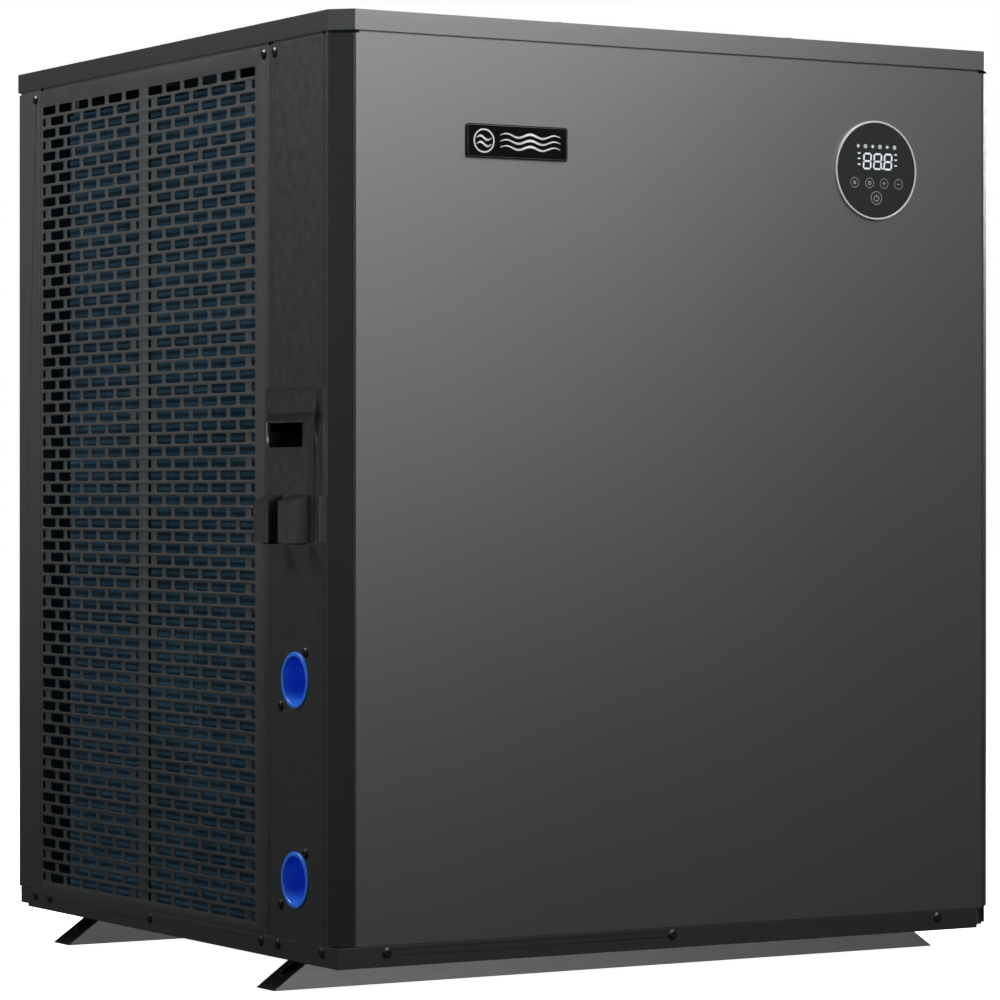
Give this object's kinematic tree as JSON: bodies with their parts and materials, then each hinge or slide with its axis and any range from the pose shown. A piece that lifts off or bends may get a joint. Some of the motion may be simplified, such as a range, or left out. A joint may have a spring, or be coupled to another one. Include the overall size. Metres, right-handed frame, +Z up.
{
  "type": "pool heat pump",
  "caption": "Free-standing top-discharge pool heat pump: square sheet-metal casing with slotted intake guards, round touch display, lifting handle and water ports low on one side.",
  "frame": {"origin": "on the ground, at the centre of the four anchor holes, which is the middle of the casing", "axes": "+Z up, the front panel faces -Y, the water ports and the handle are on the -X wall"},
  "size_m": [0.892, 0.8304, 1.0546],
  "materials": {
    "casing": "satin charcoal powder coat",
    "front_finish": "fine metallic graphite coat",
    "foot_steel": "satin coat",
    "zinc": "zinc plated",
    "galvanised": "galvanised sheet",
    "black_plastic": "fine textured",
    "grey_plastic": "moulded",
    "blue_plastic": "glossy moulded",
    "rubber": "matte",
    "stainless": "bright",
    "titanium": "drawn tube",
    "bezel_metal": "polished",
    "display_glass": "dark glass with white icons",
    "plate_gloss": "polished black",
    "guard_wire": "black coat",
    "fan_plastic": "glass filled",
    "motor_paint": "satin black",
    "fin_aluminium": "blue hydrophilic coat",
    "copper": "drawn copper",
    "compressor_paint": "black enamel",
    "brass": "machined",
    "board_green": "solder resist",
    "sink_aluminium": "extruded",
    "screw_black": "black zinc"
  },
  "bodies": {
    "casing": {"base_tray": "casing", "foot_front": "foot_steel", "foot_rear": "foot_steel", "mounting_bolts": "zinc", "drain_nipple": "black_plastic", "post_front_left": "casing", "post_back_left": "casing", "post_front_right": "casing", "post_back_right": "casing", "front_panel": "front_finish", "service_panel": "casing", "side_panel_right": "casing", "guard_left": "casing", "guard_right": "casing", "guard_back": "casing", "guard_ribs": "casing", "top_frame": "galvanised", "top_cover": "front_finish", "side_handle": "black_plastic", "cable_grommets": "rubber", "water_inlet_port": "blue_plastic", "water_outlet_port": "blue_plastic", "port_retainers": "galvanised", "water_pipes": "grey_plastic", "flow_switch_body": "black_plastic", "exchanger_shell": "grey_plastic", "titanium_coil": "titanium", "display_bezel": "bezel_metal", "display_lens": "display_glass", "display_housing": "black_plastic", "name_plate": "plate_gloss", "fan_shroud": "black_plastic", "fan_guard": "guard_wire", "fan_motor": "motor_paint", "motor_bracket": "galvanised", "evaporator_fins": "fin_aluminium", "coil_end_plates": "galvanised", "coil_tubes": "copper", "partition": "galvanised", "compressor": "compressor_paint", "compressor_grommets": "rubber", "accumulator": "compressor_paint", "reversing_valve": "brass", "expansion_valve": "brass", "filter_drier": "copper", "discharge_pipe": "copper", "suction_pipe": "copper", "gas_pipes": "copper", "liquid_pipes": "copper", "control_box": "galvanised", "control_lid": "galvanised", "control_board": "board_green", "terminal_block": "black_plastic", "heat_sink": "sink_aluminium", "panel_screws": "screw_black", "top_screws": "screw_black", "service_screws": "screw_black"},
    "fan": {"fan_rotor": "fan_plastic", "fan_shaft": "stainless"},
    "flow_paddle": {"flow_switch_paddle": "stainless"}
  },
  "joints": [
    {"name": "fan_spin", "type": "hinge", "parent": "casing", "child": "fan", "pos_m": [0, 0.0625, 0.935], "axis": [0, 0, 1], "continuous": true},
    {"name": "flow_paddle_swing", "type": "hinge", "parent": "casing", "child": "flow_paddle", "pos_m": [-0.334, -0.3185, 0.155], "axis": [0, -1, 0], "range_deg": [0, 20], "stiffness_Nm_per_rad": 0.02, "springref_deg": -5.73}
  ]
}
